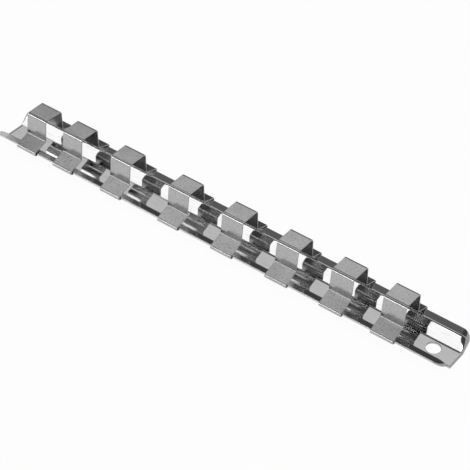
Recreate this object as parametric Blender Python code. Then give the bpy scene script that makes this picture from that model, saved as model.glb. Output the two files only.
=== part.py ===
"""Socket rail: a pressed steel channel with eight spring clips that slide along it.

X runs along the rail, Y across it and Z up. The origin lies under the middle of the rail's
floor, on the surface that the rail rests on. Lengths are in metres.
"""

import math

import bmesh
import bpy
import numpy as np

# Rail, one channel pressed from chromed sheet
RAIL_LENGTH = 0.262
RAIL_SHEET = 0.0009
FLOOR_WIDTH = 0.0106
WALL_RISE = 0.00555
WALL_SPREAD = 0.00405
FLANGE_WIDTH = 0.004
FLANGE_RISE = 0.0009
FLOOR_BEND_RADIUS = 0.0007
FLANGE_BEND_RADIUS = 0.0012
FLANGE_CORNER_RADIUS = 0.005

# Ends of the rail: the shear rolls the upper edge over and flares the walls outwards
END_ROLL_LENGTH = 0.0012
END_ROLL_SHARE = 0.65
END_FLARE_LENGTH = 0.0055
END_FLARE_DEPTH = 0.0008

# Largest value of c squared (1 - c), the shape in which the walls' ends flare
FLARE_PEAK_SHARE = 4 / 27

# Screw holes in the floor, one near each end
HOLE_DIAMETER = 0.0071
HOLE_INSET = 0.0121

# Spring clip, one strip bent across the rail
CLIP_WIDTH = 0.012
CLIP_SHEET = 0.0005
POST_TOP_DEPTH = 0.012
POST_ROOT_DEPTH = 0.0134
POST_HEIGHT = 0.0119
WING_RISE = 0.0034
SHOULDER_BEND_RADIUS = 0.0012
ROOT_BEND_RADIUS = 0.00095
LIP_LENGTH = 0.0017

# Running gap between the hooks and the flange edges
SLIDE_GAP = 0.0003

# Places of the clips' centres, as shares of half the rail's length
CLIP_PLACE_SHARES = (-0.834, -0.656, -0.425, -0.155, 0.086, 0.324, 0.553, 0.764)

# Largest share of the width from the floor's edge to the flange's edge that a corner may take
CORNER_LIMIT_SHARE = 0.9

# Facets
BEND_STEPS = 5
HOOK_STEPS = 9
CORNER_STEPS = 6
ROLL_STEPS = 3
FLARE_STEPS = 4
HOLE_FACETS = 40
SHARP_TURN = math.radians(35)

# How far a cutter runs past what it cuts
CUT_OVERRUN = 0.002

# Finishes: colour and roughness of the rail's chrome and of the clips' nickel
CHROME_COLOUR = (0.8, 0.8, 0.8)
CHROME_ROUGHNESS = 0.06
NICKEL_COLOUR = (0.66, 0.66, 0.66)
NICKEL_ROUGHNESS = 0.2


def unit(vector):
    """The vector, or row of vectors, at length one."""
    return vector / np.linalg.norm(vector, axis=-1, keepdims=True)


def left_normals(directions):
    """Each direction turned a quarter turn to its left."""
    return np.stack([-directions[..., 1], directions[..., 0]], axis=-1)


def mitred(corners, distance):
    """The open outline moved to its left by a distance, with mitred corners."""
    normals = left_normals(unit(np.diff(corners, axis=0)))
    before = np.concatenate([normals[:1], normals])
    after = np.concatenate([normals, normals[-1:]])
    reach = 1 + np.sum(before * after, axis=1, keepdims=True)
    return corners + distance * (before + after) / reach


def rounded(corners, radii, steps):
    """Points and left normals of an outline whose inner corners are arcs.

    Each arc touches both of its lines, so it starts one radius times the tangent of half the
    turning angle before the corner. It has its own number of steps.
    """
    directions = unit(np.diff(corners, axis=0))
    points = [corners[:1]]
    normals = [left_normals(directions[:1])]
    for index, (radius, count) in enumerate(zip(radii, steps)):
        into, out = directions[index], directions[index + 1]
        turn = math.atan2(into[0] * out[1] - into[1] * out[0], float(np.dot(into, out)))
        side = math.copysign(1, turn)
        start = corners[index + 1] - into * radius * math.tan(abs(turn) / 2)
        centre = start + left_normals(into) * radius * side
        angles = np.linspace(0, turn, count + 1)[:, None]
        first = left_normals(into)
        arc_normals = first * np.cos(angles) + left_normals(first) * np.sin(angles)
        points.append(centre - arc_normals * radius * side)
        normals.append(arc_normals)
    points.append(corners[-1:])
    normals.append(left_normals(directions[-1:]))
    return np.concatenate(points), np.concatenate(normals)


def rail_corners():
    """Corners of the rail's section along its mid-sheet line, from the front edge to the back."""
    floor = FLOOR_WIDTH / 2
    wall = floor + WALL_SPREAD
    edge = wall + FLANGE_WIDTH
    top = RAIL_SHEET + WALL_RISE
    half = np.array([[floor, RAIL_SHEET], [wall, top], [edge, top + FLANGE_RISE]])
    upper = np.concatenate([half[::-1] * (-1, 1), half])
    return mitred(upper, -RAIL_SHEET / 2)


def rail_section():
    """Rows of the rail's section: mid-sheet points, left normals, how far each is cut back and
    its share of the flare.

    The flat sheet's corners are round. A row that lies a distance inside the corner's circle is
    cut back by the gap between that circle and its tangent at the end. With c as the share of
    the way from the floor's edge to the flange's edge, the flare follows c squared (1 - c).
    """
    radii = [FLANGE_BEND_RADIUS, FLOOR_BEND_RADIUS]
    radii += radii[::-1]
    points, normals = rounded(rail_corners(), radii, [BEND_STEPS] * len(radii))
    steps = np.linalg.norm(np.diff(points, axis=0), axis=1)
    width = np.concatenate([[0], np.cumsum(steps)])
    width -= width[-1] / 2
    beyond_floor = width[-1] - FLOOR_WIDTH / 2
    radius = min(FLANGE_CORNER_RADIUS, beyond_floor * CORNER_LIMIT_SHARE)
    turns = np.linspace(0, math.pi / 2, CORNER_STEPS + 1)[:-1]
    inner = width[-1] - radius + radius * np.sin(turns)
    rows = np.unique(np.concatenate([width, inner, -inner]))
    points = np.column_stack([np.interp(rows, width, points[:, axis]) for axis in (0, 1)])
    normals = unit(np.column_stack([np.interp(rows, width, normals[:, axis]) for axis in (0, 1)]))
    inside = np.maximum(np.abs(rows) - (width[-1] - radius), 0)
    cuts = radius - np.sqrt(np.maximum(radius**2 - inside**2, 0))
    climb = np.clip((np.abs(rows) - FLOOR_WIDTH / 2) / beyond_floor, 0, 1)
    return points, normals, cuts, climb**2 * (1 - climb) / FLARE_PEAK_SHARE


def end_distances():
    """Distances from the rail's edge of the lines that shape its end, from the edge inwards."""
    turns = np.linspace(0, math.pi / 2, ROLL_STEPS + 1)
    rolled = END_ROLL_LENGTH * (1 - np.cos(turns))
    flared = END_FLARE_LENGTH * np.linspace(0, 1, FLARE_STEPS + 1)
    return np.unique(np.concatenate([rolled, flared]))


def closed_mesh(name, rings):
    """Mesh of a bent sheet from its rings, each of which runs out on one side and back on the other."""
    stations, around = rings.shape[:2]
    across = around // 2
    index = np.arange(stations * around).reshape(stations, around)
    following = np.roll(index, -1, axis=1)
    sides = np.stack([index[:-1], index[1:], following[1:], following[:-1]], axis=-1).reshape(-1, 4)
    back = index[:, ::-1]
    first = np.stack([index[0, :-1], index[0, 1:], back[0, 1:], back[0, :-1]], axis=-1)[: across - 1]
    last = np.stack([index[-1, :-1], back[-1, :-1], back[-1, 1:], index[-1, 1:]], axis=-1)[: across - 1]
    mesh = bpy.data.meshes.new(name)
    faces = np.concatenate([sides, first, last])
    mesh.from_pydata(rings.reshape(-1, 3).tolist(), [], faces.tolist())
    make_outward(mesh)
    mesh.shade_smooth()
    mesh.set_sharp_from_angle(angle=SHARP_TURN)
    return mesh


def make_outward(mesh):
    """Turns the faces so that they all point out of the solid."""
    work = bmesh.new()
    work.from_mesh(mesh)
    bmesh.ops.recalc_face_normals(work, faces=work.faces)
    work.to_mesh(mesh)
    work.free()


def plated_material(name, colour, roughness):
    """Bare plated metal of one colour and gloss."""
    material = bpy.data.materials.new(name)
    material.use_nodes = True
    shader = material.node_tree.nodes["Principled BSDF"]
    shader.inputs["Base Color"].default_value = (*colour, 1)
    shader.inputs["Metallic"].default_value = 1
    shader.inputs["Roughness"].default_value = roughness
    return material


def add_object(name, mesh, material):
    """New object in the scene with one material."""
    item = bpy.data.objects.new(name, mesh)
    bpy.context.scene.collection.objects.link(item)
    if not mesh.materials:
        mesh.materials.append(material)
    return item


def rail_ring(points, normals, cuts, bulges, distance, side):
    """One ring of the rail at a distance from its edge, on one side of its middle.

    The flare pushes the walls outwards by the square of the share of its length that is left.
    The roll lowers the upper face like a quarter of an ellipse.
    """
    left = max(1 - distance / END_FLARE_LENGTH, 0)
    middle = points - normals * (END_FLARE_DEPTH * left**2 * bulges)[:, None]
    rolled = max(1 - distance / END_ROLL_LENGTH, 0)
    roll = RAIL_SHEET * END_ROLL_SHARE * (1 - math.sqrt(1 - rolled**2))
    upper = middle + normals * (RAIL_SHEET / 2 - roll)
    lower = middle - normals * RAIL_SHEET / 2
    place = side * (RAIL_LENGTH / 2 - cuts - distance)
    return np.column_stack([np.concatenate([place, place[::-1]]), np.concatenate([upper, lower[::-1]])])


def rail_rings():
    """Rings of the rail from its left end to its right end."""
    section = rail_section()
    distances = end_distances()
    left = [rail_ring(*section, distance, -1) for distance in distances]
    right = [rail_ring(*section, distance, 1) for distance in distances[::-1]]
    return np.array(left + right)


def screw_hole_cutter(name, place):
    """Upright round cutter through the rail's floor at a place along it."""
    mesh = bpy.data.meshes.new(name)
    work = bmesh.new()
    depth = RAIL_SHEET + CUT_OVERRUN * 2
    bmesh.ops.create_cone(
        work, cap_ends=True, segments=HOLE_FACETS, radius1=HOLE_DIAMETER / 2, radius2=HOLE_DIAMETER / 2, depth=depth)
    work.to_mesh(mesh)
    work.free()
    cutter = bpy.data.objects.new(name, mesh)
    bpy.context.scene.collection.objects.link(cutter)
    cutter.location = (place, 0, RAIL_SHEET / 2)
    cutter.hide_render = True
    cutter.display_type = "WIRE"
    return cutter


def build_rail():
    """The channel rail with a screw hole near each end."""
    chrome = plated_material("rail_chrome", CHROME_COLOUR, CHROME_ROUGHNESS)
    rail = add_object("rail", closed_mesh("rail", rail_rings()), chrome)
    for label, side in (("left", -1), ("right", 1)):
        cutter = screw_hole_cutter(f"screw_hole_cutter_{label}", side * (RAIL_LENGTH / 2 - HOLE_INSET))
        cut = rail.modifiers.new(f"screw_hole_{label}", "BOOLEAN")
        cut.operation = "DIFFERENCE"
        cut.solver = "EXACT"
        cut.object = cutter
    return rail


def hook_radius():
    """Mid-sheet radius of a clip's hook, which clears the corners of the flange's edge."""
    return RAIL_SHEET / 2 + SLIDE_GAP + CLIP_SHEET / 2


def clip_corners():
    """Corners of a clip's mid-sheet line, from the front lip over the post to the back lip.

    The hook is a circle about the middle of the flange's edge. Its lip runs back under the
    flange, and the wing is the line from the post's root that touches the circle.
    """
    flange = rail_corners()[-2:]
    along = unit(flange[1] - flange[0])
    under = -left_normals(along)
    centre = flange[1]
    radius = hook_radius()
    root = np.array([(POST_ROOT_DEPTH - CLIP_SHEET) / 2, centre[1] + WING_RISE])
    shoulder = np.array([(POST_TOP_DEPTH - CLIP_SHEET) / 2, root[1] + POST_HEIGHT - CLIP_SHEET / 2])
    reach = centre - root
    distance = float(np.linalg.norm(reach))
    wing_angle = math.atan2(reach[1], reach[0]) + math.asin(radius / distance)
    wing = np.array([math.cos(wing_angle), math.sin(wing_angle)])
    lip = centre + under * radius - along * LIP_LENGTH
    ahead = np.linalg.solve(np.column_stack([wing, -along]), lip - root)[0]
    hook = root + wing * ahead
    half = np.array([lip, hook, root, shoulder])
    return np.concatenate([half * (-1, 1), half[::-1]])


def clip_mesh():
    """A clip about its own middle: the bent strip carried across its width."""
    radii = [hook_radius(), ROOT_BEND_RADIUS, SHOULDER_BEND_RADIUS]
    steps = [HOOK_STEPS, BEND_STEPS, BEND_STEPS]
    points, normals = rounded(clip_corners(), radii + radii[::-1], steps + steps[::-1])
    section = np.concatenate([points + normals * CLIP_SHEET / 2, (points - normals * CLIP_SHEET / 2)[::-1]])
    rings = [np.column_stack([np.full(len(section), side * CLIP_WIDTH / 2), section]) for side in (-1, 1)]
    return closed_mesh("clip", np.array(rings))


def build_clips():
    """The spring clips, each on its own slide axis along the rail."""
    nickel = plated_material("clip_nickel", NICKEL_COLOUR, NICKEL_ROUGHNESS)
    mesh = clip_mesh()
    for number, share in enumerate(CLIP_PLACE_SHARES, start=1):
        clip = add_object(f"clip_{number}", mesh, nickel)
        clip.location = (share * RAIL_LENGTH / 2, 0, 0)


def main():
    for item in list(bpy.data.objects):
        bpy.data.objects.remove(item, do_unlink=True)
    build_rail()
    build_clips()


main()
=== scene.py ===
"""Socket rail, dressed: a chromed channel rail with eight nickelled spring clips.

The file is laid out as an add-on and is run as a script. The loaded frame gives each piece its
place. Every sheet is a bent line carried across its width, with rounded sheared edges. Lengths
are in metres. X runs along the rail, Y across it and Z up.
"""

import math

import bmesh
import bpy
import numpy as np
from bpy.props import FloatProperty, FloatVectorProperty, PointerProperty
from mathutils import Matrix, Vector


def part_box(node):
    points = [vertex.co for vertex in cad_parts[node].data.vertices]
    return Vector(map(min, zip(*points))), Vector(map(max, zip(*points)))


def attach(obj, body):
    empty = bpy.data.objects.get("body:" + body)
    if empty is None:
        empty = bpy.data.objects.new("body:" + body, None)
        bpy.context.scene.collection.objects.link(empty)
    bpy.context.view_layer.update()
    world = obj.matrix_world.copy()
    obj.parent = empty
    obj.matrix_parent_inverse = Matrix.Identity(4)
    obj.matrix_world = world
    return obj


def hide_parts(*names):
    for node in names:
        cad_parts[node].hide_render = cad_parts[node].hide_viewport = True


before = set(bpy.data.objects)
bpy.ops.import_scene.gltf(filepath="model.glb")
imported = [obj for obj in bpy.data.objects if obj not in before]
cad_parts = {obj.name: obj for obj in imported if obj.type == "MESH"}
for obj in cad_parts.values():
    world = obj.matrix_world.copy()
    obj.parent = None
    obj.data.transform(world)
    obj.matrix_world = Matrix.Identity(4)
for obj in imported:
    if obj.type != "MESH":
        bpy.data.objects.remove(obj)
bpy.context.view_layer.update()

bl_info = {
    "name": "Socket rail",
    "version": (1, 0, 0),
    "blender": (4, 5, 0),
    "location": "3D View > Sidebar > Socket rail",
    "description": "Builds a chromed socket rail with spring clips, and a plain studio for it",
    "category": "Object",
}

RAIL_LOW, RAIL_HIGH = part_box("rail")
CLIP_NODES = sorted(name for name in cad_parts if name.startswith("clip_"))
CLIP_LOW, CLIP_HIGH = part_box(CLIP_NODES[0])

# Points closer than this are one point
WELD = 1e-6

# Sides shorter than this are closed up
SHORTEST_SIDE = WELD / 10

# Rows of the rail closer than this share of its edge's radius are one row
ROW_GAP_SHARE = 0.1

# Largest value of c squared (1 - c), the shape in which the walls' ends flare
BULGE_PEAK = 4 / 27

# The floor's place among the runs and arcs of the rail's line
FLOOR_RUN = 4

# How far the rail's cut corners reach along it before they fade out, in radii of the corner
CORNER_FADE_RADII = 3

# How far the mask of a sheared edge reaches, in radii of the edge
EDGE_MASK_RADII = 2

# Steps of the surfaces
BEND_STEPS = 12
HOOK_STEPS = 24
RUN_STEPS = 12
EDGE_STEPS = 4
PATCH_STEPS = 24
ROLL_STEPS = 8
MIDDLE_STEPS = 55

# Noise of the platings' effects
LINE_NOISE = {"Scale": 1, "Detail": 3, "Roughness": 0.6}
FLECK_NOISE = {"Scale": 1, "Detail": 4, "Roughness": 0.65}
EDGE_NOISE = {"Scale": 900, "Detail": 2}
CLOUD_NOISE = {"Detail": 4}
WAVE_NOISE = {"Detail": 1}

# Levels of the noise between which a fleck fills out, and between which the clouds change
FLECK_RANGE = {"From Min": 0.5, "From Max": 0.68}
CLOUD_RANGE = {"From Min": 0.3, "From Max": 0.7}

# Colour of the dull flecks
FLECK_COLOUR = (0.2, 0.2, 0.2, 1)

# Waves in the plating for each of its clouds
WAVES_PER_CLOUD = 4

# How much rougher a sheared edge is than the plating, in spreads of the plating's roughness
EDGE_SPREADS = 2

# Patterns of the two platings. Clouds are counted per metre of the object, and lines and flecks
# per metre along X, then per metre along the bent line. The depths are in metres.
CHROME_PATTERN = {
    "clouds": 60,
    "spread": 0.02,
    "lines": (25, 2500, 1),
    "line_depth": 1e-6,
    "wave_depth": 3e-6,
    "edge_amount": 0.5,
    "flecks": (120, 2600, 1),
    "fleck_share": 0.25,
}
NICKEL_PATTERN = {
    "clouds": 120,
    "spread": 0.04,
    "lines": (7000, 60, 1),
    "line_depth": 5e-6,
    "wave_depth": 3e-6,
    "edge_amount": 0.9,
    "flecks": (1200, 900, 1),
    "fleck_share": 0.45,
}

# Soft panels round the studio: azimuth and half the spread, lower and upper elevation, all in
# degrees, and strength
STUDIO_PANELS = (
    (237, 25, 17, 34, 1.2),
    (237, 25, 17, 20, 3.5),
    (237, 25, 31, 34, 3.5),
    (117, 30, 36, 50, 0.6),
    (190, 28, 56, 80, 0.6),
    (205, 25, 5, 30, 0.6),
    (244, 22, 0, 11, 0.28),
    (115, 22, -3, 3, 0.4),
    (150, 24.3, 3, 24, 0.6),
    (147, 32, 46, 72, 0.12),
    (0, 84, 4, 90, 0.38),
    (180, 97, 77, 90, 0.45),
)

# Level of the studio between its panels
STUDIO_DARK = 0.055

# Half the width over which a panel's edge fades, as a sine or cosine
PANEL_SOFTNESS = 0.008

# Floor, lamp and camera of the studio
FLOOR_REACH = 3
LAMP_WIDTH = 1.2
LAMP_PLACE = (-0.3, -0.2, 1.4)
SENSOR_WIDTH = 36


def length_size(name, description, default):
    """A length that a user can change, in metres."""
    return FloatProperty(
        name=name, description=description, default=default, min=0, precision=5, unit="LENGTH")


def share_size(name, description, default):
    """A share from none to all that a user can change."""
    return FloatProperty(
        name=name, description=description, default=default, min=0, max=1, subtype="FACTOR")


def turn_size(name, description, degrees):
    """An angle that a user can change."""
    return FloatProperty(
        name=name, description=description, default=math.radians(degrees), subtype="ANGLE")


def paint_colour(name, description, default):
    """A colour that a user can change."""
    return FloatVectorProperty(
        name=name, description=description, default=default, size=3, min=0, max=1, subtype="COLOR")


class RailSizes(bpy.types.PropertyGroup):
    """Sizes of the channel rail."""

    length: length_size("Length", "Length of the rail", RAIL_HIGH[0] - RAIL_LOW[0])
    sheet: length_size("Sheet", "Thickness of the rail's sheet", 0.0009)
    floor_width: length_size("Floor width", "Width of the floor between its corners", 0.0106)
    wall_rise: length_size("Wall rise", "Height of a wall over the floor", 0.00555)
    wall_spread: length_size("Wall spread", "How far a wall leans outwards", 0.00405)
    flange_width: length_size("Flange width", "Width of a flange, seen from above", 0.004)
    flange_rise: length_size("Flange rise", "How far a flange's edge stands over its root", 0.0009)
    floor_bend_radius: length_size("Floor bend radius", "Middle radius of the floor's bends", 0.0007)
    flange_bend_radius: length_size("Flange bend radius", "Middle radius of the flanges' bends", 0.0012)
    corner_radius: length_size("Corner radius", "Radius of the flat sheet's corners", 0.005)
    roll_length: length_size("Roll length", "Length over which the shear rolled the ends", 0.0012)
    roll_share: share_size("Roll share", "Share of the sheet that the roll takes at the end", 0.65)
    flare_length: length_size("Flare length", "Length over which the walls' ends flare", 0.0055)
    flare_depth: length_size("Flare depth", "How far the walls' ends flare outwards", 0.0008)
    hole_diameter: length_size("Hole diameter", "Width of the screw holes", 0.0071)
    hole_inset: length_size("Hole inset", "Distance of a hole's centre from the end", 0.0121)
    dish_width: length_size("Dish width", "Width of the punched hole's rolled rim", 0.0003)
    dish_depth: length_size("Dish depth", "Depth of the punched hole's rolled rim", 0.0001)
    edge_radius: length_size("Edge radius", "Radius of the sheared edges", 0.00022)
    burr_radius: length_size("Burr radius", "Radius of the sharper lower edges", 0.0001)


class ClipSizes(bpy.types.PropertyGroup):
    """Sizes of the spring clips."""

    width: length_size("Width", "Width of the strip", CLIP_HIGH[0] - CLIP_LOW[0])
    sheet: length_size("Sheet", "Thickness of the strip", 0.0005)
    top: length_size("Top", "Height of the post's top over the ground", CLIP_HIGH[2])
    post_top_depth: length_size("Post top depth", "Depth of the post over its top", 0.012)
    post_root_depth: length_size("Post root depth", "Depth of the post at its root", 0.0134)
    wing_rise: length_size("Wing rise", "Height of the post's root over the flange's edge", 0.0034)
    shoulder_radius: length_size("Shoulder radius", "Middle radius of the post's upper bends", 0.0016)
    root_radius: length_size("Root radius", "Middle radius of the bends at the post's root", 0.00095)
    lip_length: length_size("Lip length", "Length of the lips under the flanges", 0.0017)
    slide_gap: length_size("Slide gap", "Running gap between hook and flange", 0.0003)
    edge_radius: length_size("Edge radius", "Radius of the strip's sheared edges", 0.00012)


class Finishes(bpy.types.PropertyGroup):
    """Colours and gloss of the two platings."""

    chrome: paint_colour("Chrome", "Colour of the rail's chrome", (0.8, 0.8, 0.8))
    chrome_roughness: share_size("Chrome roughness", "Roughness of the rail's chrome", 0.04)
    nickel: paint_colour("Nickel", "Colour of the clips' nickel", (0.7, 0.7, 0.7))
    nickel_roughness: share_size("Nickel roughness", "Roughness of the clips' nickel", 0.16)
    bare_steel: paint_colour("Bare steel", "Colour of the steel at worn edges", (0.78, 0.78, 0.77))


class StageSettings(bpy.types.PropertyGroup):
    """Camera and light of the plain studio."""

    azimuth: turn_size("Azimuth", "Camera's turn from -Y towards +X", 34.77)
    elevation: turn_size("Elevation", "Camera's height", 41.07)
    roll: turn_size("Roll", "Camera's roll", 2.89)
    distance: length_size("Distance", "Camera's distance from its target", 0.77084)
    target: FloatVectorProperty(
        name="Target", description="Point that the camera looks at", default=(0.00894, 0, 0.00661),
        size=3, subtype="XYZ")
    lens: FloatProperty(
        name="Lens", description="Focal length in millimetres on a sensor of 36", default=125.72)
    floor_colour: paint_colour("Floor colour", "Colour of the studio floor", (0.92, 0.92, 0.92))
    lamp_power: FloatProperty(
        name="Lamp power", description="Power of the soft lamp overhead", default=8, subtype="POWER")
    white_share: share_size("White share", "Share of plain white that the camera sees in the floor", 0.96)


class SocketRailSettings(bpy.types.PropertyGroup):
    """All the settings of the socket rail."""

    rail: PointerProperty(type=RailSizes)
    clip: PointerProperty(type=ClipSizes)
    finish: PointerProperty(type=Finishes)
    stage: PointerProperty(type=StageSettings)


def chords(runs, turns, headings):
    """Moves along arcs.

    A stretch d that turns by t from heading h ends at d sin(t/2)/(t/2) along the heading h + t/2.
    """
    reach = runs * np.sinc(turns / math.tau)
    middle = headings + turns / 2
    return np.column_stack([reach * np.cos(middle), reach * np.sin(middle)])


class BentLine:
    """A flat line of straight runs joined by arcs.

    The heading is even on a run, and turns evenly with the length on an arc. Each arc takes its
    radius times the tangent of half its turn off both its neighbours.
    """

    def __init__(self, corners, radii):
        steps = np.diff(corners, axis=0)
        headings = np.arctan2(steps[:, 1], steps[:, 0])
        turns = (np.diff(headings) + math.pi) % math.tau - math.pi
        trims = radii * np.tan(np.abs(turns) / 2)
        pieces = np.zeros(2 * len(steps) - 1)
        pieces[0::2] = np.linalg.norm(steps, axis=1) - np.append(trims, 0) - np.insert(trims, 0, 0)
        pieces[1::2] = radii * np.abs(turns)
        turning = np.zeros_like(pieces)
        turning[1::2] = turns
        self.curvature = turning / pieces
        self.starts = np.insert(np.cumsum(pieces), 0, 0)
        self.headings = np.insert(headings[0] + np.cumsum(turning), 0, headings[0])[:-1]
        moves = chords(pieces, turning, self.headings)
        self.origins = np.vstack([corners[0], corners[0] + np.cumsum(moves, axis=0)])[:-1]
        self.length = self.starts[-1]

    def at(self, places):
        """Points and left normals at distances along the line."""
        piece = np.searchsorted(self.starts, places, side="right") - 1
        piece = np.clip(piece, 0, len(self.curvature) - 1)
        runs = places - self.starts[piece]
        turns = runs * self.curvature[piece]
        headings = self.headings[piece]
        points = self.origins[piece] + chords(runs, turns, headings)
        normals = np.column_stack([-np.sin(headings + turns), np.cos(headings + turns)])
        return points, normals

    def rows(self, counts):
        """Distances along the line: even steps on the arcs, and on the runs steps that narrow
        towards both ends like the cosine of an even angle."""
        parts = []
        for piece, count in enumerate(counts):
            even = np.linspace(0, 1, count + 1)[:-1]
            if piece % 2 == 0:
                even = (1 - np.cos(math.pi * even)) / 2
            parts.append(self.starts[piece] + even * (self.starts[piece + 1] - self.starts[piece]))
        return np.append(np.concatenate(parts), self.length)


def edged_rows(rows, radius, sheet):
    """Rows of a sheet whose first and last edges are rounded, and each row's share of thickness.

    Towards an edge the rows follow a quarter circle: the row an angle a on lies the radius times
    one less the sine of a from the edge, and is thinned on each side by the radius times one less
    the cosine. A last row without thickness closes the edge.
    """
    angles = np.linspace(0, math.pi / 2, EDGE_STEPS + 1)
    insets = np.append(radius * (1 - np.sin(angles)), 0)
    shares = np.append(1 - 2 * radius * (1 - np.cos(angles)) / sheet, 0)
    inner = rows[(rows > radius + WELD) & (rows < rows[-1] - radius - WELD)]
    places = np.concatenate([insets[::-1], inner, rows[-1] - insets])
    return places, np.concatenate([shares[::-1], np.ones(len(inner)), shares])


def edge_mask(reach, radius):
    """Mask of a sheared edge: one on the edge, falling evenly with the distance from it."""
    return np.clip(1 - reach / (EDGE_MASK_RADII * radius), 0, 1)


def grid_faces(rows, around):
    """Quads of a grid that is open along its rows and closed around them."""
    index = np.arange(rows * around).reshape(rows, around)
    following = np.roll(index, -1, axis=1)
    return np.stack([index[:-1], following[:-1], following[1:], index[1:]], axis=-1).reshape(-1, 4)


def sheet_mesh(name, points, faces, sheet_map, edge):
    """Smooth closed mesh with the sheet's own map in metres and a mask of its sheared edges."""
    mesh = bpy.data.meshes.new(name)
    mesh.from_pydata(points.tolist(), [], faces.tolist())
    layer = mesh.uv_layers.new(name="sheet")
    corners = np.empty(len(mesh.loops), dtype=np.int32)
    mesh.loops.foreach_get("vertex_index", corners)
    layer.data.foreach_set("uv", sheet_map[corners].ravel())
    mesh.attributes.new("edge", "FLOAT", "POINT").data.foreach_set("value", edge)
    work = bmesh.new()
    work.from_mesh(mesh)
    bmesh.ops.remove_doubles(work, verts=work.verts, dist=WELD)
    bmesh.ops.dissolve_degenerate(work, edges=work.edges, dist=SHORTEST_SIDE)
    bmesh.ops.recalc_face_normals(work, faces=work.faces)
    work.to_mesh(mesh)
    work.free()
    mesh.shade_smooth()
    return mesh


def add_piece(mesh, material, node):
    """Puts a piece in the scene in place of a node, on that node's body."""
    piece = bpy.data.objects.new(mesh.name, mesh)
    bpy.context.scene.collection.objects.link(piece)
    mesh.materials.append(material)
    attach(piece, node)
    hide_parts(node)


def rail_corners(sizes):
    """Corners of the rail's section along its mid-sheet line, from the front edge to the back.

    The corners of the upper face are moved down, square to it, by half the sheet.
    """
    floor = sizes.floor_width / 2
    wall = floor + sizes.wall_spread
    top = sizes.sheet + sizes.wall_rise
    edge = [wall + sizes.flange_width, top + sizes.flange_rise]
    half = np.array([[floor, sizes.sheet], [wall, top], edge])
    upper = np.concatenate([half[::-1] * (-1, 1), half])
    steps = np.diff(upper, axis=0)
    normals = np.column_stack([-steps[:, 1], steps[:, 0]]) / np.linalg.norm(steps, axis=1, keepdims=True)
    before = np.vstack([normals[:1], normals])
    after = np.vstack([normals, normals[-1:]])
    reach = 1 + np.sum(before * after, axis=1, keepdims=True)
    return upper - sizes.sheet / 2 * (before + after) / reach


def rail_line(sizes):
    """The section's mid-sheet line, from the front edge to the back."""
    radii = np.array([sizes.flange_bend_radius, sizes.floor_bend_radius])
    return BentLine(rail_corners(sizes), np.concatenate([radii, radii[::-1]]))


def rail_rows(sizes, line):
    """Rows across the rail's section, and each row's share of thickness.

    They are even over the floor, for the square patches round the holes. Beside an edge they
    also follow the quarter circles of the flat sheet's corners.
    """
    counts = [RUN_STEPS, BEND_STEPS, RUN_STEPS, BEND_STEPS]
    rows = line.rows(counts + [1] + counts[::-1])
    floor = np.linspace(line.starts[FLOOR_RUN], line.starts[FLOOR_RUN + 1], PATCH_STEPS + 1)[1:-1]
    angles = np.linspace(0, math.pi / 2, ROLL_STEPS + 1)[1:-1]
    corner = sizes.corner_radius * (1 - np.sin(angles))
    rows = np.unique(np.concatenate([rows, floor, corner, line.length - corner]))
    rows = rows[np.insert(np.diff(rows) > ROW_GAP_SHARE * sizes.edge_radius, 0, True)]
    return edged_rows(rows, sizes.edge_radius, sizes.sheet)


def rail_loop(sizes, patch):
    """Closed loop of the rail's lengthwise section: distance from the nearer end, height and side.

    The upper side runs from the left end to the right one, the lower side back. An end drops
    like a quarter of an ellipse, stands upright and turns under in a small quarter circle. The
    steps are even over the square patches round the holes.
    """
    turns = np.linspace(math.pi / 2, 0, ROLL_STEPS + 1)
    half = sizes.sheet / 2
    rolled = sizes.roll_length * (1 - np.sin(turns))
    drops = sizes.sheet * sizes.roll_share * (1 - np.cos(turns))
    burr = sizes.burr_radius * (1 - np.sin(turns))
    tucked = sizes.burr_radius * (1 - np.cos(turns))
    flared = np.linspace(sizes.roll_length, sizes.flare_length, ROLL_STEPS)[1:]
    square = sizes.hole_inset + np.linspace(-patch, patch, PATCH_STEPS + 1)
    middle = np.linspace(square[-1], sizes.length / 2, MIDDLE_STEPS + 1)[1:]
    flat = np.concatenate([flared[flared < square[0] - WELD], square, middle])
    upper = np.concatenate([rolled, flat])
    upper_height = np.concatenate([half - drops, np.full(len(flat), half)])
    under = np.concatenate([burr, rolled[rolled > sizes.burr_radius + WELD], flat])
    under_height = np.full(len(under), -half)
    under_height[: len(burr)] += tucked
    distance = np.concatenate([upper, upper[-2::-1], under, under[-2::-1]])
    height = np.concatenate([upper_height, upper_height[-2::-1], under_height, under_height[-2::-1]])
    side = np.repeat((-1, 1, 1, -1), (len(upper), len(upper) - 1, len(under), len(under) - 1))
    return distance, height, side


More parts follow.
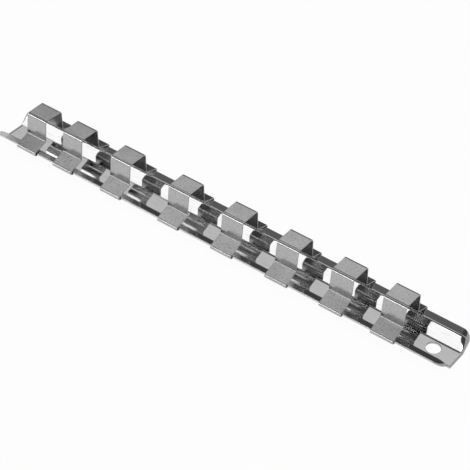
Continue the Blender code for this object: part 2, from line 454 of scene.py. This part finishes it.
def rail_grid(sizes, line, patch):
    """The rail as a grid: rows across its section, closed loops along it.

    A point is the section's point, plus the loop's height along the section's normal, plus the
    loop's distance from the end along X. Near an end the distance is stretched so that the edge
    follows the quarter circles of the flat sheet's corners. The walls flare by the square of the
    share of the flare's length that is left, times c squared (1 - c) over its own peak, where c is
    the share of the way from the floor's edge to the flange's edge.
    """
    places, shares = rail_rows(sizes, line)
    points, normals = line.at(places)
    distance, height, side = rail_loop(sizes, patch)
    half, floor = line.length / 2, sizes.floor_width / 2
    off_middle = np.abs(places - half)
    inside = np.maximum(off_middle - half + sizes.corner_radius, 0)
    cuts = sizes.corner_radius - np.sqrt(np.maximum(sizes.corner_radius**2 - inside**2, 0))
    fade = np.clip(1 - distance / (CORNER_FADE_RADII * sizes.corner_radius), 0, 1)
    along = side * (sizes.length / 2 - distance - cuts[:, None] * fade)
    climb = np.clip((off_middle - floor) / (half - floor), 0, 1)
    bulge = climb**2 * (1 - climb) / BULGE_PEAK
    flare = np.outer(bulge, np.clip(1 - distance / sizes.flare_length, 0, 1) ** 2)
    out = height * shares[:, None] - sizes.flare_depth * flare
    across = points[:, None, :] + normals[:, None, :] * out[:, :, None]
    grid = np.concatenate([along[:, :, None], across], axis=2)
    reach = np.minimum(np.minimum(places, line.length - places)[:, None], distance[None, :])
    sheet_map = np.stack([along, np.broadcast_to(places[:, None], along.shape)], axis=2)
    return grid, sheet_map, edge_mask(reach, sizes.edge_radius)


def hole_patch(sizes, patch, centre):
    """Square of the floor round a screw hole, as closed loops from its rim on top, through the
    hole, to its rim below.

    A loop is part of the way from the square to the circle. The rim then drops like a quarter of
    an ellipse, the wall goes straight down, and the lower edge turns out in a quarter circle.
    """
    side = np.linspace(-1, 1, PATCH_STEPS + 1)[:-1]
    ones = np.ones(PATCH_STEPS)
    square = np.concatenate([
        np.column_stack([side, -ones]), np.column_stack([ones, side]),
        np.column_stack([-side, ones]), np.column_stack([-ones, -side])])
    circle = square / np.linalg.norm(square, axis=1, keepdims=True)
    radius = sizes.hole_diameter / 2
    half = sizes.sheet / 2
    turns = np.linspace(0, math.pi / 2, ROLL_STEPS + 1)
    blend = np.linspace(0, 1, ROLL_STEPS + 1)[:-1]
    rim = radius + sizes.dish_width * (1 - np.sin(turns))
    rim_height = half - sizes.dish_depth * (1 - np.cos(turns))
    foot = radius + sizes.burr_radius * (1 - np.cos(turns))
    foot_height = sizes.burr_radius * (1 - np.sin(turns)) - half
    rings = [square * patch * (1 - share) + circle * rim[0] * share for share in blend]
    rings += [circle * size for size in rim]
    rings += [circle * size for size in foot]
    rings += [square * patch * (1 - share) + circle * foot[-1] * share for share in blend[::-1]]
    heights = [np.full(len(blend), half), rim_height, foot_height, np.full(len(blend), -half)]
    flat = np.array(rings)
    height = np.broadcast_to(np.concatenate(heights)[:, None] + half, flat.shape[:2])
    grid = np.stack([flat[:, :, 0] + centre, flat[:, :, 1], height], axis=2)
    reach = np.abs(np.linalg.norm(flat, axis=2) - radius)
    return grid, flat + (centre, 0), edge_mask(reach, sizes.edge_radius)


def rail_mesh(sizes):
    """The whole rail: the grid without the two squares, and a patch with a hole in each square."""
    line = rail_line(sizes)
    patch = (line.starts[FLOOR_RUN + 1] - line.starts[FLOOR_RUN]) / 2
    grid, sheet_map, edge = rail_grid(sizes, line, patch)
    points = [grid.reshape(-1, 3)]
    maps = [sheet_map.reshape(-1, 2)]
    edges = [edge.ravel()]
    faces = grid_faces(*grid.shape[:2])
    centres = points[0][faces].mean(axis=1)
    kept = np.full(len(faces), True)
    rims = []
    for sign in (-1, 1):
        centre = sign * (sizes.length / 2 - sizes.hole_inset)
        kept &= (np.abs(centres[:, 0] - centre) >= patch) | (np.abs(centres[:, 1]) >= patch)
        rings, ring_map, ring_edge = hole_patch(sizes, patch, centre)
        rims.append(grid_faces(*rings.shape[:2]) + sum(len(part) for part in points))
        points.append(rings.reshape(-1, 3))
        maps.append((ring_map + (0, line.length / 2)).reshape(-1, 2))
        edges.append(ring_edge.ravel())
    faces = np.concatenate([faces[kept], *rims])
    return sheet_mesh(
        "rail_channel", np.concatenate(points), faces, np.concatenate(maps), np.concatenate(edges))


def clip_line(rail, sizes):
    """Mid-sheet line of a clip, from the front lip over the post to the back lip.

    The hook is a circle about the middle of the flange's edge. The wing is the line from the
    post's root that touches the circle, and the lip runs back under the flange.
    """
    flange = rail_corners(rail)[-2:]
    along = (flange[1] - flange[0]) / np.linalg.norm(flange[1] - flange[0])
    under = np.array([along[1], -along[0]])
    centre = flange[1]
    radius = rail.sheet / 2 + sizes.slide_gap + sizes.sheet / 2
    root = np.array([(sizes.post_root_depth - sizes.sheet) / 2, centre[1] + sizes.wing_rise])
    shoulder = np.array([(sizes.post_top_depth - sizes.sheet) / 2, sizes.top - sizes.sheet / 2])
    reach = centre - root
    angle = math.atan2(reach[1], reach[0]) + math.asin(radius / np.linalg.norm(reach))
    wing = np.array([math.cos(angle), math.sin(angle)])
    lip = centre + under * radius - along * sizes.lip_length
    ahead = np.linalg.solve(np.column_stack([wing, -along]), lip - root)[0]
    half = np.array([lip, root + wing * ahead, root, shoulder])
    radii = np.array([radius, sizes.root_radius, sizes.shoulder_radius])
    return BentLine(np.concatenate([half * (-1, 1), half[::-1]]), np.concatenate([radii, radii[::-1]]))


def strip_loop(sizes):
    """Closed section of the strip: a rectangle whose corners are quarter circles.

    The upper and lower sides have steps that narrow towards both ends.
    """
    radius = sizes.edge_radius
    turns = np.linspace(0, math.pi / 2, EDGE_STEPS + 1)
    even = (1 - np.cos(math.pi * np.linspace(0, 1, 2 * RUN_STEPS + 1))) / 2
    flat = (sizes.width / 2 - radius) * (1 - 2 * even)[1:-1]
    side = sizes.width / 2 - radius * (1 - np.cos(turns))
    height = sizes.sheet / 2 - radius * (1 - np.sin(turns))
    place = np.concatenate([side, flat, -side[::-1]])
    level = np.concatenate([height, np.full(len(flat), sizes.sheet / 2), height[::-1]])
    return np.concatenate([place, place[::-1]]), np.concatenate([level, -level[::-1]])


def clip_mesh(name, rail, sizes, centre):
    """A clip: the strip's rounded section carried along its bent line."""
    line = clip_line(rail, sizes)
    counts = [RUN_STEPS, HOOK_STEPS, RUN_STEPS, BEND_STEPS, RUN_STEPS, BEND_STEPS]
    rows = line.rows(counts + [RUN_STEPS] + counts[::-1])
    places, shares = edged_rows(rows, sizes.edge_radius, sizes.sheet)
    points, normals = line.at(places)
    place, level = strip_loop(sizes)
    out = level * shares[:, None]
    across = points[:, None, :] + normals[:, None, :] * out[:, :, None]
    along = np.broadcast_to(place + centre, out.shape)
    grid = np.concatenate([along[:, :, None], across], axis=2)
    end_reach = np.minimum(places, line.length - places)
    reach = np.minimum(end_reach[:, None], (sizes.width / 2 - np.abs(place))[None, :])
    edge = edge_mask(reach, sizes.edge_radius)
    sheet_map = np.stack([along, np.broadcast_to(places[:, None], out.shape)], axis=2)
    faces = grid_faces(*grid.shape[:2])
    return sheet_mesh(name, grid.reshape(-1, 3), faces, sheet_map.reshape(-1, 2), edge.ravel())


def place_node(tree, kind, inputs=None, **settings):
    """Adds a node, sets its values and links the sockets that it is given."""
    node = tree.nodes.new(kind)
    for name, value in settings.items():
        setattr(node, name, value)
    for name, value in (inputs or {}).items():
        if isinstance(value, bpy.types.NodeSocket):
            tree.links.new(value, node.inputs[name])
        else:
            node.inputs[name].default_value = value
    return node


def math_value(tree, operation, *values, clamp=False):
    """Result of a sum on values or sockets."""
    inputs = dict(enumerate(values))
    return place_node(tree, "ShaderNodeMath", inputs, operation=operation, use_clamp=clamp).outputs[0]


def math_vector(tree, operation, *vectors):
    """Vector that a sum on vectors or sockets gives."""
    inputs = dict(enumerate(vectors))
    return place_node(tree, "ShaderNodeVectorMath", inputs, operation=operation).outputs["Vector"]


def noise_value(tree, place, settings):
    """Noise at a place."""
    return place_node(tree, "ShaderNodeTexNoise", {"Vector": place, **settings}).outputs["Fac"]


def mixed_colour(tree, share, first, second):
    """Two colours mixed by the second one's share."""
    inputs = {"Factor": share, "A": first, "B": second}
    return place_node(tree, "ShaderNodeMix", inputs, data_type="RGBA").outputs["Result"]


def start_group(name, inputs, outputs):
    """New shader group with its input and output nodes."""
    tree = bpy.data.node_groups.new(name, "ShaderNodeTree")
    for label, kind in inputs.items():
        tree.interface.new_socket(name=label, in_out="INPUT", socket_type=kind)
    for label, kind in outputs.items():
        tree.interface.new_socket(name=label, in_out="OUTPUT", socket_type=kind)
    return tree, place_node(tree, "NodeGroupInput").outputs, place_node(tree, "NodeGroupOutput").inputs


def rolling_lines(name):
    """Lines left by the rolling mill: noise drawn out along one axis of the sheet's map."""
    tree, given, result = start_group(
        name, {"Map": "NodeSocketVector", "Lines": "NodeSocketVector"}, {"Line": "NodeSocketFloat"})
    drawn_out = math_vector(tree, "MULTIPLY", given["Map"], given["Lines"])
    tree.links.new(noise_value(tree, drawn_out, LINE_NOISE), result["Line"])


def dull_flecks(name):
    """Small dull flecks: the peaks of drawn-out noise over a threshold, as a mask."""
    tree, given, result = start_group(
        name,
        {"Map": "NodeSocketVector", "Flecks": "NodeSocketVector", "Share": "NodeSocketFloat"},
        {"Mask": "NodeSocketFloat"})
    drawn_out = math_vector(tree, "MULTIPLY", given["Map"], given["Flecks"])
    peaks = {"Value": noise_value(tree, drawn_out, FLECK_NOISE), **FLECK_RANGE, "To Max": given["Share"]}
    tree.links.new(place_node(tree, "ShaderNodeMapRange", peaks).outputs["Result"], result["Mask"])


def sheared_edge(name):
    """Sheared edges: the edges' mask, broken up by fine noise, mixes bare steel into the plating."""
    tree, given, result = start_group(
        name,
        {"Edge": "NodeSocketFloat", "Place": "NodeSocketVector", "Amount": "NodeSocketFloat",
         "Plating": "NodeSocketColor", "Steel": "NodeSocketColor"},
        {"Color": "NodeSocketColor", "Mask": "NodeSocketFloat"})
    broken = math_value(tree, "MULTIPLY", noise_value(tree, given["Place"], EDGE_NOISE), given["Amount"])
    mask = math_value(tree, "MULTIPLY", broken, given["Edge"], clamp=True)
    tree.links.new(mixed_colour(tree, mask, given["Plating"], given["Steel"]), result["Color"])
    tree.links.new(mask, result["Mask"])


def plating_clouds(name):
    """Slow cloudy change over the plating, between two values."""
    tree, given, result = start_group(
        name,
        {"Place": "NodeSocketVector", "Clouds": "NodeSocketFloat",
         "Low": "NodeSocketFloat", "High": "NodeSocketFloat"},
        {"Value": "NodeSocketFloat"})
    noise = noise_value(tree, given["Place"], {"Scale": given["Clouds"], **CLOUD_NOISE})
    change = {"Value": noise, **CLOUD_RANGE, "To Min": given["Low"], "To Max": given["High"]}
    tree.links.new(place_node(tree, "ShaderNodeMapRange", change).outputs["Result"], result["Value"])


def soft_panel(name):
    """A soft panel in the sky: full between two elevations and near one azimuth, and fading
    smoothly at its edges. Elevations count as the height of the direction, and the azimuth as the
    cosine of the turn away from the panel's middle."""
    tree, given, result = start_group(
        name,
        {"Direction": "NodeSocketVector", "Towards": "NodeSocketVector", "Spread": "NodeSocketFloat",
         "Low": "NodeSocketFloat", "High": "NodeSocketFloat", "Strength": "NodeSocketFloat"},
        {"Level": "NodeSocketFloat"})
    height = place_node(tree, "ShaderNodeSeparateXYZ", {0: given["Direction"]}).outputs["Z"]
    level = math_vector(tree, "MULTIPLY", given["Direction"], (1, 1, 0))
    ends = {0: math_vector(tree, "NORMALIZE", level), 1: given["Towards"]}
    facing = place_node(tree, "ShaderNodeVectorMath", ends, operation="DOT_PRODUCT").outputs["Value"]
    total = given["Strength"]
    for value, edge, sign in ((facing, "Spread", 1), (height, "Low", 1), (height, "High", -1)):
        past = math_value(tree, "SUBTRACT", value, given[edge])
        fade = place_node(
            tree, "ShaderNodeMapRange",
            {"Value": past, "From Min": -sign * PANEL_SOFTNESS, "From Max": sign * PANEL_SOFTNESS},
            interpolation_type="SMOOTHSTEP")
        total = math_value(tree, "MULTIPLY", total, fade.outputs["Result"])
    tree.links.new(total, result["Level"])


# Makers of the shared shader groups, each under its group's name
GROUP_MAKERS = {
    "rolling_lines": rolling_lines,
    "dull_flecks": dull_flecks,
    "sheared_edge": sheared_edge,
    "plating_clouds": plating_clouds,
    "soft_panel": soft_panel,
}


def use_group(tree, name, inputs):
    """Places a shared shader group with its own values. The group is made when first used."""
    if name not in bpy.data.node_groups:
        GROUP_MAKERS[name](name)
    return place_node(tree, "ShaderNodeGroup", inputs, node_tree=bpy.data.node_groups[name]).outputs


def plated_material(name, colour, steel, roughness, pattern):
    """Plated metal: clouded gloss, rolling lines, flecks, slight waves and bare steel at the
    sheared edges."""
    material = bpy.data.materials.new(name)
    material.use_nodes = True
    tree = material.node_tree
    shader = tree.nodes["Principled BSDF"]
    place = place_node(tree, "ShaderNodeTexCoord").outputs["Object"]
    sheet_map = place_node(tree, "ShaderNodeUVMap", uv_map="sheet").outputs["UV"]
    edge = place_node(tree, "ShaderNodeAttribute", attribute_name="edge").outputs["Fac"]
    sheared = use_group(tree, "sheared_edge", {
        "Edge": edge, "Place": place, "Amount": pattern["edge_amount"],
        "Plating": (*colour, 1), "Steel": (*steel, 1)})
    gloss = use_group(tree, "plating_clouds", {
        "Place": place, "Clouds": pattern["clouds"],
        "Low": roughness - pattern["spread"], "High": roughness + pattern["spread"]})
    rougher = math_value(
        tree, "MULTIPLY_ADD", sheared["Mask"], EDGE_SPREADS * pattern["spread"], gloss["Value"])
    wave = noise_value(tree, place, {"Scale": WAVES_PER_CLOUD * pattern["clouds"], **WAVE_NOISE})
    waved = place_node(tree, "ShaderNodeBump", {"Height": wave, "Distance": pattern["wave_depth"]})
    line = use_group(tree, "rolling_lines", {"Map": sheet_map, "Lines": pattern["lines"]})
    lined = place_node(tree, "ShaderNodeBump", {
        "Height": line["Line"], "Distance": pattern["line_depth"], "Normal": waved.outputs["Normal"]})
    fleck = use_group(tree, "dull_flecks", {
        "Map": sheet_map, "Flecks": pattern["flecks"], "Share": pattern["fleck_share"]})
    flecked = mixed_colour(tree, fleck["Mask"], sheared["Color"], FLECK_COLOUR)
    tree.links.new(flecked, shader.inputs["Base Color"])
    tree.links.new(rougher, shader.inputs["Roughness"])
    tree.links.new(lined.outputs["Normal"], shader.inputs["Normal"])
    shader.inputs["Metallic"].default_value = 1
    return material


def chrome_material(finish):
    """Bright chrome of the rail, with fine lines along it."""
    return plated_material(
        "rail_chrome", finish.chrome, finish.bare_steel, finish.chrome_roughness, CHROME_PATTERN)


def nickel_material(finish):
    """Satin nickel of the clips, with fine lines along the strip."""
    return plated_material(
        "clip_nickel", finish.nickel, finish.bare_steel, finish.nickel_roughness, NICKEL_PATTERN)


class SOCKETRAIL_OT_rail(bpy.types.Operator):
    """Build the chromed channel rail"""

    bl_idname = "socket_rail.rail"
    bl_label = "Build rail"

    def execute(self, context):
        settings = context.scene.socket_rail
        add_piece(rail_mesh(settings.rail), chrome_material(settings.finish), "rail")
        return {"FINISHED"}


class SOCKETRAIL_OT_clips(bpy.types.Operator):
    """Build the nickelled spring clips, each at its node's place"""

    bl_idname = "socket_rail.clips"
    bl_label = "Build clips"

    def execute(self, context):
        settings = context.scene.socket_rail
        nickel = nickel_material(settings.finish)
        for node in CLIP_NODES:
            low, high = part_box(node)
            name = node.replace("clip", "clip_strip")
            mesh = clip_mesh(name, settings.rail, settings.clip, (low[0] + high[0]) / 2)
            add_piece(mesh, nickel, node)
        return {"FINISHED"}


def add_floor(stage):
    """Wide floor, near white to the camera, that keeps a soft shadow. Metal mirrors it in its own
    colour."""
    mesh = bpy.data.meshes.new("studio_floor")
    corners = [(x * FLOOR_REACH, y * FLOOR_REACH, 0) for x, y in ((-1, -1), (1, -1), (1, 1), (-1, 1))]
    mesh.from_pydata(corners, [], [(0, 1, 2, 3)])
    floor = bpy.data.objects.new("studio_floor", mesh)
    bpy.context.scene.collection.objects.link(floor)
    material = bpy.data.materials.new("studio_floor")
    material.use_nodes = True
    tree = material.node_tree
    shader = tree.nodes["Principled BSDF"]
    shader.inputs["Base Color"].default_value = (*stage.floor_colour, 1)
    shader.inputs["Roughness"].default_value = 1
    shader.inputs["Specular IOR Level"].default_value = 0
    rays = place_node(tree, "ShaderNodeLightPath").outputs
    seen = math_value(tree, "MAXIMUM", rays["Is Camera Ray"], rays["Is Transmission Ray"])
    share = math_value(tree, "MULTIPLY", seen, stage.white_share)
    white = place_node(tree, "ShaderNodeEmission", {"Color": (1, 1, 1, 1), "Strength": 1})
    mixed = place_node(tree, "ShaderNodeMixShader", {0: share, 1: shader.outputs[0], 2: white.outputs[0]})
    tree.links.new(mixed.outputs[0], tree.nodes["Material Output"].inputs["Surface"])
    mesh.materials.append(material)


def light_world():
    """Dim studio with soft panels. Each direction has the level of the brightest panel there, and
    no less than the studio's own level."""
    world = bpy.data.worlds.new("studio")
    world.use_nodes = True
    tree = world.node_tree
    direction = place_node(tree, "ShaderNodeTexCoord").outputs["Generated"]
    total = STUDIO_DARK
    for azimuth, spread, low, high, strength in STUDIO_PANELS:
        turn = math.radians(azimuth)
        panel = use_group(tree, "soft_panel", {
            "Direction": direction, "Towards": (math.cos(turn), math.sin(turn), 0),
            "Spread": math.cos(math.radians(spread)), "Low": math.sin(math.radians(low)),
            "High": math.sin(math.radians(high)) + PANEL_SOFTNESS, "Strength": strength})
        total = math_value(tree, "MAXIMUM", total, panel["Level"])
    background = tree.nodes["Background"]
    background.inputs["Color"].default_value = (1, 1, 1, 1)
    tree.links.new(total, background.inputs["Strength"])
    bpy.context.scene.world = world


def add_lamp(stage):
    """Large soft lamp overhead, which lights the floor and leaves no mark in the chrome."""
    data = bpy.data.lights.new("soft_lamp", "AREA")
    data.shape = "DISK"
    data.size = LAMP_WIDTH
    data.energy = stage.lamp_power
    lamp = bpy.data.objects.new("soft_lamp", data)
    lamp.location = LAMP_PLACE
    lamp.rotation_euler = (-lamp.location).to_track_quat("-Z", "Y").to_euler()
    lamp.visible_glossy = False
    bpy.context.scene.collection.objects.link(lamp)


def add_camera(stage):
    """Camera at the photograph's angle. Its frame is square."""
    azimuth, elevation, roll = stage.azimuth, stage.elevation, stage.roll
    level = math.cos(elevation)
    back = Vector((math.sin(azimuth) * level, -math.cos(azimuth) * level, math.sin(elevation)))
    right = Vector((0, 0, 1)).cross(back).normalized()
    up = back.cross(right)
    rolled_right = right * math.cos(roll) + up * math.sin(roll)
    rolled_up = up * math.cos(roll) - right * math.sin(roll)
    data = bpy.data.cameras.new("camera")
    data.sensor_width = SENSOR_WIDTH
    data.lens = stage.lens
    camera = bpy.data.objects.new("camera", data)
    turn = Matrix((rolled_right, rolled_up, back)).transposed().to_4x4()
    camera.matrix_world = Matrix.Translation(Vector(stage.target) + back * stage.distance) @ turn
    bpy.context.scene.collection.objects.link(camera)
    bpy.context.scene.camera = camera


class SOCKETRAIL_OT_stage(bpy.types.Operator):
    """Set up the plain floor, the soft light and the camera"""

    bl_idname = "socket_rail.stage"
    bl_label = "Set stage"

    def execute(self, context):
        stage = context.scene.socket_rail.stage
        add_floor(stage)
        light_world()
        add_lamp(stage)
        add_camera(stage)
        context.scene.view_settings.view_transform = "Standard"
        return {"FINISHED"}


class SOCKETRAIL_PT_panel(bpy.types.Panel):
    """Buttons and settings of the socket rail"""

    bl_idname = "SOCKETRAIL_PT_panel"
    bl_label = "Socket rail"
    bl_space_type = "VIEW_3D"
    bl_region_type = "UI"
    bl_category = "Socket rail"

    def draw(self, context):
        for operator in OPERATORS:
            self.layout.operator(operator.bl_idname)
        settings = context.scene.socket_rail
        for group in (settings.rail, settings.clip, settings.finish, settings.stage):
            box = self.layout.box()
            for name in group.__annotations__:
                box.prop(group, name)


SETTINGS = (RailSizes, ClipSizes, Finishes, StageSettings, SocketRailSettings)
OPERATORS = (SOCKETRAIL_OT_rail, SOCKETRAIL_OT_clips, SOCKETRAIL_OT_stage)
CLASSES = (*SETTINGS, *OPERATORS, SOCKETRAIL_PT_panel)


def register():
    for item in CLASSES:
        bpy.utils.register_class(item)
    bpy.types.Scene.socket_rail = PointerProperty(type=SocketRailSettings)


def unregister():
    del bpy.types.Scene.socket_rail
    for item in reversed(CLASSES):
        bpy.utils.unregister_class(item)


def main():
    register()
    bpy.ops.socket_rail.rail()
    bpy.ops.socket_rail.clips()
    bpy.ops.socket_rail.stage()


if __name__ == "__main__":
    main()
